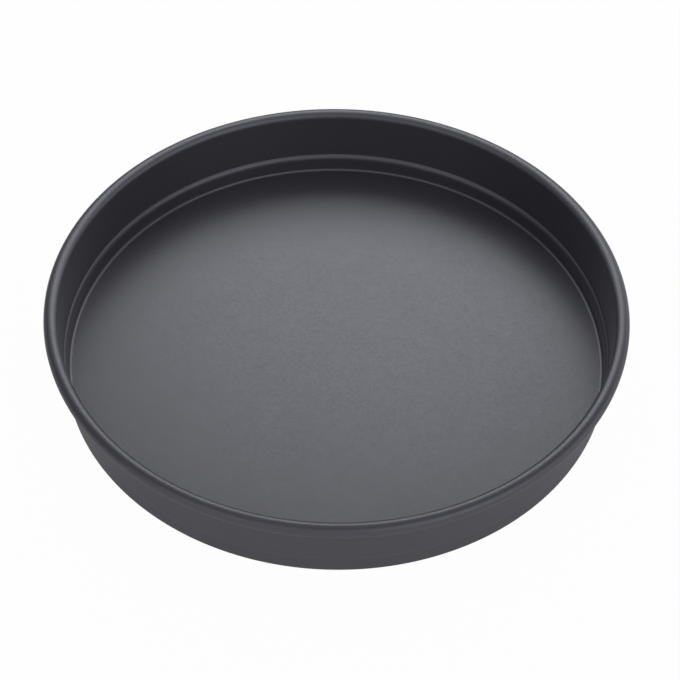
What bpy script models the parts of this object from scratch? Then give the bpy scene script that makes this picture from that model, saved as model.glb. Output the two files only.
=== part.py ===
# Round stacking cake pan: one turned sheet of hard-anodised aluminium, whose rim is rolled
# outwards round a steel wire. Metres, +Z up, origin in the middle of the underside.

from math import acos, atan2, cos, radians, sin

import bmesh
import bpy

# The sheet: 12 gauge, the same thickness all over
SHEET = 0.00205

# The inside, which names the pan: 14 inches wide at the floor's corner, 2 inches deep
FOOT_RADIUS = 0.1791  # inside radius of the wall under the step
INSIDE_DEPTH = 0.0508  # top of the floor to the top of the rim
CORNER_INSIDE = 0.0018  # fillet between floor and wall
CORNER_OUTSIDE = 0.0016  # rounding of the underside's edge

# The stacking step: the foot below it drops into the mouth of the next pan
STEP_OUT = 0.0029  # how much wider the wall is above the step
STEP_RISE = 0.0048  # height over which it widens, in one soft double bend
STEP_HEIGHT = 0.0142  # middle of the step above the underside

# The rim: the sheet's edge rolled outwards round a 7 gauge steel wire
WIRE_RADIUS = 0.00225
WIRE_CLEARANCE = 0.0003  # between the wire and the sheet that wraps it
CURL_GAP = 0.0003  # between the sheet's edge and the wall it curls back to

# How finely the round forms are faceted
TURN_STEPS = 96
CORNER_STEPS = 4
BEND_STEPS = 4
CROWN_STEPS = 10  # over the top of the rim, an even number so that one lands on the top
CURL_STEPS = 7  # from the rim's outermost point under to the sheet's edge
BORE_STEPS = 12
WIRE_STEPS = 12
SEAM_MERGE = 0.00001
SHARP_ANGLE = radians(40)

# What follows from them
MOUTH_RADIUS = FOOT_RADIUS + STEP_OUT
BORE_RADIUS = WIRE_RADIUS + WIRE_CLEARANCE
RIM_RADIUS = BORE_RADIUS + SHEET
RIM_X = MOUTH_RADIUS + RIM_RADIUS
RIM_Z = SHEET + INSIDE_DEPTH - RIM_RADIUS


def arc(centre, radius, start, end, steps):
    """Points on a circle about centre, from the start angle to the end angle."""
    x, z = centre
    turns = [start + (end - start) * n / steps for n in range(steps + 1)]
    return [(x + radius * cos(turn), z + radius * sin(turn)) for turn in turns]


def step_bends():
    """The step's two bends: their centres, inside radius, and how far the wall leans where they meet."""
    lean = 2 * atan2(STEP_OUT, STEP_RISE)
    bend = (STEP_RISE / sin(lean) - SHEET) / 2
    lower = (FOOT_RADIUS + SHEET + bend, STEP_HEIGHT - STEP_RISE / 2)
    upper = (MOUTH_RADIUS - bend, STEP_HEIGHT + STEP_RISE / 2)
    return lower, upper, bend, lean


def sheet_outline():
    """Half section of the sheet: along its inner face, round the curl, back down its outer face."""
    up, level = radians(180), 0.0
    down = radians(-90)
    lower, upper, bend, lean = step_bends()
    rim = (RIM_X, RIM_Z)
    edge = -acos(-(BORE_RADIUS - CURL_GAP) / RIM_RADIUS)
    inner_corner = (FOOT_RADIUS - CORNER_INSIDE, SHEET + CORNER_INSIDE)
    outer_corner = (FOOT_RADIUS + SHEET - CORNER_OUTSIDE, CORNER_OUTSIDE)

    points = [(0.0, SHEET)]
    points += arc(inner_corner, CORNER_INSIDE, down, level, CORNER_STEPS)
    points += arc(lower, bend + SHEET, up, up - lean, BEND_STEPS)[:-1]
    points += arc(upper, bend, -lean, level, BEND_STEPS)
    points += arc(rim, RIM_RADIUS, up, level, CROWN_STEPS)[:-1]
    points += arc(rim, RIM_RADIUS, level, edge, CURL_STEPS)
    points += arc(rim, BORE_RADIUS, edge, up, BORE_STEPS)
    points += arc(upper, bend + SHEET, level, -lean, BEND_STEPS)[:-1]
    points += arc(lower, bend, up - lean, up, BEND_STEPS)
    points += arc(outer_corner, CORNER_OUTSIDE, level, down, CORNER_STEPS)
    points += [(0.0, 0.0)]
    return points


def wire_outline():
    """Round section of the wire, closed on itself, in the middle of the curl's bore."""
    section = arc((RIM_X, RIM_Z), WIRE_RADIUS, radians(180), radians(-180), WIRE_STEPS)
    return section[:-1]


def finish(name, colour, metallic, roughness):
    """A plain metal finish for one piece."""
    material = bpy.data.materials.new(name)
    material.use_nodes = True
    shader = material.node_tree.nodes["Principled BSDF"]
    shader.inputs["Base Color"].default_value = (*colour, 1.0)
    shader.inputs["Metallic"].default_value = metallic
    shader.inputs["Roughness"].default_value = roughness
    material.diffuse_color = (*colour, 1.0)
    return material


def turned(name, outline, closed, material):
    """Spin a half section in the XZ plane about the pan's axis."""
    shape = bmesh.new()
    section = [shape.verts.new((x, 0.0, z)) for x, z in outline]
    following = section[1:] + section[:1] if closed else section[1:]
    edges = [shape.edges.new(pair) for pair in zip(section, following)]
    bmesh.ops.spin(
        shape,
        geom=section + edges,
        cent=(0.0, 0.0, 0.0),
        axis=(0.0, 0.0, 1.0),
        angle=radians(360),
        steps=TURN_STEPS,
    )
    bmesh.ops.remove_doubles(shape, verts=shape.verts, dist=SEAM_MERGE)
    bmesh.ops.recalc_face_normals(shape, faces=shape.faces)
    mesh = bpy.data.meshes.new(name)
    shape.to_mesh(mesh)
    shape.free()
    mesh.shade_smooth()
    mesh.set_sharp_from_angle(angle=SHARP_ANGLE)
    mesh.materials.append(material)
    piece = bpy.data.objects.new(name, mesh)
    bpy.context.collection.objects.link(piece)
    return piece


for old in list(bpy.data.objects):
    bpy.data.objects.remove(old)

anodised = finish("dark_anodised_aluminium", (0.105, 0.105, 0.115), 0.6, 0.38)
steel = finish("galvanised_steel_wire", (0.55, 0.56, 0.57), 1.0, 0.4)

turned("pan_body", sheet_outline(), False, anodised)
turned("rim_wire", wire_outline(), True, steel)
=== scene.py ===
# A round cake pan of dark hard-anodised aluminium, 14 inches across and 2 inches deep,
# with a stacking step low in its wall and a rim rolled outwards round a steel wire.

from math import acos, cos, pi, radians, sin

import bpy
from mathutils import Matrix, Vector


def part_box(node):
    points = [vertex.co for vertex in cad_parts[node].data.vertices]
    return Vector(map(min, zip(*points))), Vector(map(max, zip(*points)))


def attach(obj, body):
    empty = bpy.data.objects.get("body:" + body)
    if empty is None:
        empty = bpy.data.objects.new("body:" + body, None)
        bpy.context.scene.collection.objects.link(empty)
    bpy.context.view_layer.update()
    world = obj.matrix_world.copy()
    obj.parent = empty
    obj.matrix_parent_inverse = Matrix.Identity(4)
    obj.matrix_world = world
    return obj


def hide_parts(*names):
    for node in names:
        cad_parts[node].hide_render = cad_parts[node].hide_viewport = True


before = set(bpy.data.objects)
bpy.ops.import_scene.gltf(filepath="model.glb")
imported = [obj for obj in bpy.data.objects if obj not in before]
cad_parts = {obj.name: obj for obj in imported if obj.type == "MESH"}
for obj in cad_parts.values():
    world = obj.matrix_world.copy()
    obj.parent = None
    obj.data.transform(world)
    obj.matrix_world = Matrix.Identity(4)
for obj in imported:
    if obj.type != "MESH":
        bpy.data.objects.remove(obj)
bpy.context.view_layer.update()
bpy.ops.object.select_all(action="DESELECT")
print("frame loaded:", ", ".join(sorted(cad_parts)))


# Small helpers

def toLinear(hexColour):  # an sRGB hex colour as the linear values a shader takes
    parts = [int(hexColour[n:n + 2], 16) / 255 for n in (1, 3, 5)]
    parts = [p / 12.92 if p <= 0.04045 else ((p + 0.055) / 1.055) ** 2.4 for p in parts]
    return (*parts, 1.0)


def addNode(tree, kind, values=None, links=None, **settings):
    node = tree.nodes.new(kind)
    for name, value in settings.items():
        setattr(node, name, value)
    for name, value in (values or {}).items():
        node.inputs[name].default_value = value
    for name, socket in (links or {}).items():
        tree.links.new(socket, node.inputs[name])
    return node


def newMaterial(name):  # an empty material and its shader, ready for a pattern
    material = bpy.data.materials.new(name)
    material.use_nodes = True
    return material, material.node_tree, material.node_tree.nodes["Principled BSDF"]


# Hard-anodised aluminium: the sheet is etched matt, then grows a dark oxide skin.
# To the eye it is a dark blue-grey satin: soft, wide reflections, a fine tooth, no sparkle.

anodised = {
    "colour": "#6C6C71",
    "paleColour": "#6D6D72",  # where the oxide is a little thinner
    "darkColour": "#6B6B70",
    "metal": 0.8,  # the rest is the dye in the oxide, which keeps shaded walls from going black
    "roughness": 0.44,
    "roughnessSpread": 0.04,
    "cloudSize": 0.035,  # slow drifts of the oxide's colour
    "cloudDetail": 4.0,
    "cloudGrit": 0.6,
    "toothSize": 0.0014,  # the real tooth is a twentieth of this and would not show
    "toothDepth": 0.000008,
    "noiseLow": 0.3,  # both noises lie between these values nearly everywhere
    "noiseHigh": 0.7,
}


def makeAnodised():
    material, tree, shader = newMaterial("hardAnodisedAluminium")
    place = addNode(tree, "ShaderNodeTexCoord").outputs["Object"]
    clouds = addNode(
        tree, "ShaderNodeTexNoise",
        {"Scale": 1 / anodised["cloudSize"], "Detail": anodised["cloudDetail"],
         "Roughness": anodised["cloudGrit"]},
        {"Vector": place},
    )
    tooth = addNode(
        tree, "ShaderNodeTexNoise", {"Scale": 1 / anodised["toothSize"]}, {"Vector": place}
    )
    colour = addNode(tree, "ShaderNodeValToRGB", links={"Fac": clouds.outputs["Fac"]})
    dark, pale = colour.color_ramp.elements
    dark.position, pale.position = anodised["noiseLow"], anodised["noiseHigh"]
    dark.color = toLinear(anodised["darkColour"])
    pale.color = toLinear(anodised["paleColour"])
    middle = colour.color_ramp.elements.new((anodised["noiseLow"] + anodised["noiseHigh"]) / 2)
    middle.color = toLinear(anodised["colour"])
    polish = addNode(
        tree, "ShaderNodeMapRange",
        {"From Min": anodised["noiseLow"], "From Max": anodised["noiseHigh"],
         "To Min": anodised["roughness"] - anodised["roughnessSpread"],
         "To Max": anodised["roughness"] + anodised["roughnessSpread"]},
        {"Value": tooth.outputs["Fac"]},
    )
    bump = addNode(
        tree, "ShaderNodeBump",
        {"Strength": 1.0, "Distance": anodised["toothDepth"]},
        {"Height": tooth.outputs["Fac"]},
    )
    shader.inputs["Metallic"].default_value = anodised["metal"]
    tree.links.new(colour.outputs["Color"], shader.inputs["Base Color"])
    tree.links.new(polish.outputs["Result"], shader.inputs["Roughness"])
    tree.links.new(bump.outputs["Normal"], shader.inputs["Normal"])
    return material


# Galvanised steel wire: drawn, then dipped in zinc. Dull, pale and faintly blotched.

zincWire = {
    "colour": "#C2C4C6",
    "darkColour": "#A4A7AA",
    "roughness": 0.42,
    "blotchSize": 0.003,
}


def makeZincWire():
    material, tree, shader = newMaterial("galvanisedSteelWire")
    place = addNode(tree, "ShaderNodeTexCoord").outputs["Object"]
    blotches = addNode(
        tree, "ShaderNodeTexVoronoi", {"Scale": 1 / zincWire["blotchSize"]}, {"Vector": place}
    )
    colour = addNode(
        tree, "ShaderNodeMix",
        {"A": toLinear(zincWire["darkColour"]), "B": toLinear(zincWire["colour"])},
        data_type="RGBA",
    )
    tree.links.new(blotches.outputs["Distance"], colour.inputs["Factor"])
    shader.inputs["Metallic"].default_value = 1.0
    shader.inputs["Roughness"].default_value = zincWire["roughness"]
    tree.links.new(colour.outputs["Result"], shader.inputs["Base Color"])
    return material


# The pan's sheet, drawn as a half section and turned. Its mouth and top follow the frame.

panSheet = {
    "thickness": 0.00205,
    "footRadius": 0.1791,  # inside, under the step
    "cornerInside": 0.0018,
    "cornerOutside": 0.0016,
    "stepStart": 0.0117,  # where the step begins, above the table
    "stepLean": radians(52),  # how far it leans out at its steepest
    "stepShoulder": 0.0046,  # inside radius of its soft lower bend
    "stepHollow": 0.0006,  # inside radius of its tight upper bend
    "wallDraft": 0.0008,  # how much the wall opens from the step to the mouth
    "rimRadius": 0.0046,
    "edgeGap": 0.0003,  # from the curl's edge to the wall
    "ease": 0.0006,  # an edge ring this near each bend keeps the flats flat
    "floorRings": 5,
    "bendSteps": 12,
    "curlSteps": 56,
    "boreSteps": 28,
    "turnSteps": 288,
    "seamMerge": 0.00001,
    "sharpAngle": radians(40),  # the curl's cut edge is sharper than this, all else is smooth
}


def extrudeTo(point, target):  # the drawn line's end vertex, pulled on to target
    step = (target[0] - point[0], 0.0, target[1] - point[1])
    bpy.ops.mesh.extrude_region_move(TRANSFORM_OT_translate={"value": step})
    return target


def straightTo(point, target, ease):
    run = Vector(target) - Vector(point)
    if run.length > 4 * ease:
        near = Vector(point) + run.normalized() * ease
        far = Vector(target) - run.normalized() * ease
        point = extrudeTo(point, tuple(near))
        point = extrudeTo(point, tuple(far))
    return extrudeTo(point, target)


def bendRound(point, centre, turn, steps):  # turn is counter-clockwise, X to the right, Z up
    bpy.ops.mesh.spin(
        steps=steps, angle=turn, center=(centre[0], 0.0, centre[1]), axis=(0.0, 1.0, 0.0)
    )
    x, z = point[0] - centre[0], point[1] - centre[1]
    return (
        centre[0] + x * cos(turn) - z * sin(turn),
        centre[1] + x * sin(turn) + z * cos(turn),
    )


def drawSection(low, high):
    s = panSheet
    thick, foot, rim, ease = s["thickness"], s["footRadius"], s["rimRadius"], s["ease"]
    lean, shoulder, hollow = s["stepLean"], s["stepShoulder"], s["stepHollow"]
    mouth = high.x - 2 * rim
    wall = mouth - s["wallDraft"]
    rimCentre = (high.x - rim, high.z - rim)
    bore = rim - thick
    slope = (wall - foot - (shoulder + hollow) * (1 - cos(lean))) / sin(lean)
    rise = (shoulder + hollow) * sin(lean) + slope * cos(lean)
    lowerBend = (foot + shoulder, s["stepStart"])
    upperBend = (wall - hollow, s["stepStart"] + rise)
    curlTurn = pi + acos(-(bore - s["edgeGap"]) / rim)
    innerCorner = (foot - s["cornerInside"], low.z + thick + s["cornerInside"])
    outerCorner = (foot + thick - s["cornerOutside"], low.z + s["cornerOutside"])

    # Along the inner face: floor, corner, foot, step, wall
    point = (0.0, low.z + thick)
    for n in range(1, s["floorRings"]):
        point = extrudeTo(point, (innerCorner[0] * n / s["floorRings"], point[1]))
    point = straightTo(point, (innerCorner[0], point[1]), ease)
    point = bendRound(point, innerCorner, pi / 2, s["bendSteps"])
    point = straightTo(point, (point[0], lowerBend[1]), ease)
    point = bendRound(point, lowerBend, -lean, s["bendSteps"])
    point = extrudeTo(
        point, (upperBend[0] + hollow * cos(lean), upperBend[1] - hollow * sin(lean))
    )
    point = bendRound(point, upperBend, lean, s["bendSteps"])
    point = straightTo(point, (mouth, rimCentre[1]), ease)

    # Round the curl and back inside it to the wall
    point = bendRound(point, rimCentre, -curlTurn, s["curlSteps"])
    across = pi - curlTurn
    boreEdge = (rimCentre[0] + bore * cos(across), rimCentre[1] + bore * sin(across))
    point = extrudeTo(point, boreEdge)
    point = bendRound(point, rimCentre, curlTurn, s["boreSteps"])

    # Down the outer face to the middle of the underside
    point = straightTo(point, (wall + thick, upperBend[1]), ease)
    point = bendRound(point, upperBend, -lean, s["bendSteps"])
    inner = shoulder - thick
    point = extrudeTo(
        point, (lowerBend[0] - inner * cos(lean), lowerBend[1] + inner * sin(lean))
    )
    point = bendRound(point, lowerBend, lean, s["bendSteps"])
    point = straightTo(point, (point[0], outerCorner[1]), ease)
    point = bendRound(point, outerCorner, -pi / 2, s["bendSteps"])
    for n in range(s["floorRings"] - 1, 0, -1):
        point = straightTo(point, (outerCorner[0] * n / s["floorRings"], low.z), ease)
    extrudeTo(point, (0.0, low.z))


def makePan(material):
    low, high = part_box("pan_body")
    bpy.ops.mesh.primitive_plane_add(size=0.01, location=(0.0, 0.0, 0.0))
    pan = bpy.context.object
    pan.name = "panShell"

    # The plane becomes one vertex in the middle of the floor, and the section is drawn from it
    bpy.ops.object.mode_set(mode="EDIT")
    bpy.ops.mesh.select_all(action="SELECT")
    bpy.ops.mesh.merge(type="CENTER")
    bpy.ops.transform.translate(value=(0.0, 0.0, low.z + panSheet["thickness"]))
    drawSection(low, high)
    bpy.ops.mesh.select_all(action="SELECT")
    bpy.ops.mesh.spin(
        steps=panSheet["turnSteps"], angle=2 * pi, center=(0.0, 0.0, 0.0), axis=(0.0, 0.0, 1.0)
    )
    bpy.ops.mesh.select_all(action="SELECT")
    bpy.ops.mesh.remove_doubles(threshold=panSheet["seamMerge"])
    bpy.ops.mesh.normals_make_consistent(inside=False)
    bpy.ops.object.mode_set(mode="OBJECT")
    bpy.ops.object.shade_smooth_by_angle(angle=panSheet["sharpAngle"])
    pan.data.materials.clear()
    pan.data.materials.append(material)
    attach(pan, "root")
    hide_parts("pan_body")
    bpy.ops.object.select_all(action="DESELECT")
    print("pan shell:", len(pan.data.polygons), "faces")
    return pan


pan = makePan(makeAnodised())

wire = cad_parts["rim_wire"]
wire.data.materials.clear()
wire.data.materials.append(makeZincWire())
print("rim wire: zinc finish")


# The stage: a pale table that fades into a white room

studio = {
    "tableSize": 8.0,
    "tableDrop": 0.0002,  # below the pan's underside
    "tableColour": "#E8E8E8",
    "tableRoughness": 0.9,
    "tableGloss": 0.1,
    "whiteToCamera": 0.98,  # how much of the table is plain white there, and not lit
    "whiteToMetal": 0.3,
    "dome": 0.19,  # the room's light from everywhere
    "roomColour": "#F6F7FF",  # a cool white, which the shaded walls show
    # Pale walls and ceiling: degrees round from the pan's right, degrees up, spread, strength
    "glows": [
        (45, 6, 18, 0.89), (0, 6, 18, 0.70), (315, 27, 22, 0.9), (270, 27, 22, 0.31),
        (225, 27, 22, 0.52), (270, 55, 20, 0.08), (0, 90, 22, 0.14),
    ],
    "glowSoftness": 0.35,  # how far each glow fades in and out, as a share of its spread
}


def makeTable():
    material, tree, shader = newMaterial("paleTable")
    shader.inputs["Base Color"].default_value = toLinear(studio["tableColour"])
    shader.inputs["Roughness"].default_value = studio["tableRoughness"]
    shader.inputs["Specular IOR Level"].default_value = studio["tableGloss"]
    rays = addNode(tree, "ShaderNodeLightPath")
    white = addNode(tree, "ShaderNodeEmission", {"Strength": 1.0, "Color": (1, 1, 1, 1)})
    toCamera = addNode(
        tree, "ShaderNodeMath", {1: studio["whiteToCamera"]}, {0: rays.outputs["Is Camera Ray"]},
        operation="MULTIPLY",
    )
    seenInMetal = addNode(
        tree, "ShaderNodeMath", links={0: rays.outputs["Is Glossy Ray"],
                                       1: rays.outputs["Is Transmission Ray"]},
        operation="MAXIMUM",
    )
    share = addNode(
        tree, "ShaderNodeMath", {1: studio["whiteToMetal"]},
        {0: seenInMetal.outputs[0], 2: toCamera.outputs[0]}, operation="MULTIPLY_ADD",
    )
    mixed = addNode(
        tree, "ShaderNodeMixShader",
        links={0: share.outputs[0], 1: shader.outputs[0], 2: white.outputs[0]},
    )
    tree.links.new(mixed.outputs[0], tree.nodes["Material Output"].inputs["Surface"])
    bpy.ops.mesh.primitive_plane_add(
        size=studio["tableSize"], location=(0.0, 0.0, -studio["tableDrop"])
    )
    table = bpy.context.object
    table.name = "table"
    table.data.materials.append(material)


def makeRoom():
    world = bpy.data.worlds.new("whiteRoom")
    bpy.context.scene.world = world
    world.use_nodes = True
    tree = world.node_tree
    backdrop = tree.nodes["Background"]
    way = addNode(tree, "ShaderNodeTexCoord").outputs["Generated"]
    light = addNode(tree, "ShaderNodeMath", {0: studio["dome"], 1: 0.0}).outputs[0]
    softness = studio["glowSoftness"]
    for around, up, spread, power in studio["glows"]:
        around, up, spread = radians(around), radians(up), radians(spread)
        towards = addNode(
            tree, "ShaderNodeVectorMath",
            {1: (cos(up) * cos(around), cos(up) * sin(around), sin(up))}, {0: way},
            operation="DOT_PRODUCT",
        )
        glow = addNode(
            tree, "ShaderNodeMapRange",
            {"From Min": cos(spread * (1 + softness)), "From Max": cos(spread * (1 - softness)),
             "To Max": power},
            {"Value": towards.outputs["Value"]}, interpolation_type="SMOOTHSTEP",
        )
        light = addNode(
            tree, "ShaderNodeMath", links={0: light, 1: glow.outputs["Result"]}
        ).outputs[0]
    backdrop.inputs["Color"].default_value = toLinear(studio["roomColour"])
    tree.links.new(light, backdrop.inputs["Strength"])
    plain = addNode(tree, "ShaderNodeBackground", {"Color": (1, 1, 1, 1), "Strength": 1.0})
    rays = addNode(tree, "ShaderNodeLightPath")
    seen = addNode(
        tree, "ShaderNodeMath", links={0: rays.outputs["Is Camera Ray"],
                                       1: rays.outputs["Is Transmission Ray"]},
        operation="MAXIMUM",
    )
    mixed = addNode(
        tree, "ShaderNodeMixShader",
        links={0: seen.outputs[0], 1: backdrop.outputs[0], 2: plain.outputs[0]},
    )
    tree.links.new(mixed.outputs[0], tree.nodes["World Output"].inputs["Surface"])


# Square softboxes behind the pan that face it: degrees round and up as above, and the side
# and brightness of each one's surface

softboxes = {
    "distance": 0.9,
    "colour": "#FDFFFE",  # a trace greener than the room
    "boxes": {
        "rearBox": {"around": 90, "up": 40, "side": 0.45, "glow": 1.8},
        "rearRightBox": {"around": 60, "up": 40, "side": 0.45, "glow": 1.09},
        "rearLeftBox": {"around": 120, "up": 40, "side": 0.45, "glow": 0.69},
        "highBox": {"around": 90, "up": 58, "side": 0.45, "glow": 0.5},
        "smallBox": {"around": 60, "up": 46, "side": 0.2, "glow": 0.37},
    },
}


def makeSoftboxes():
    for name, box in softboxes["boxes"].items():
        around, up = radians(box["around"]), radians(box["up"])
        towards = Vector((cos(up) * cos(around), cos(up) * sin(around), sin(up)))
        place = softboxes["distance"] * towards
        bpy.ops.object.light_add(type="AREA", location=place)
        lamp = bpy.context.object
        lamp.name = name
        lamp.data.shape = "SQUARE"
        lamp.data.color = toLinear(softboxes["colour"])[:3]
        lamp.data.size = box["side"]
        lamp.data.energy = box["glow"] * pi * box["side"] ** 2
        lamp.rotation_euler = (-place).to_track_quat("-Z", "Y").to_euler()
        lamp.visible_camera = False


makeTable()
makeRoom()
makeSoftboxes()
print("stage: table, room and", len(softboxes["boxes"]), "softboxes")


# The camera looks down at the pan from the front

view = {
    "place": (0.00239, -0.84820, 0.93144),
    "elevation": radians(47.339),
    "roll": radians(0.920),
    "lensMm": 98.84,
    "sensorMm": 36.0,
}


def makeCamera():
    data = bpy.data.cameras.new("camera")
    data.sensor_width = view["sensorMm"]
    data.lens = view["lensMm"]
    camera = bpy.data.objects.new("camera", data)
    bpy.context.scene.collection.objects.link(camera)
    camera.matrix_world = (
        Matrix.Translation(view["place"])
        @ Matrix.Rotation(pi / 2 - view["elevation"], 4, "X")
        @ Matrix.Rotation(view["roll"], 4, "Z")
    )
    bpy.context.scene.camera = camera


makeCamera()
bpy.context.scene.view_settings.view_transform = "Standard"
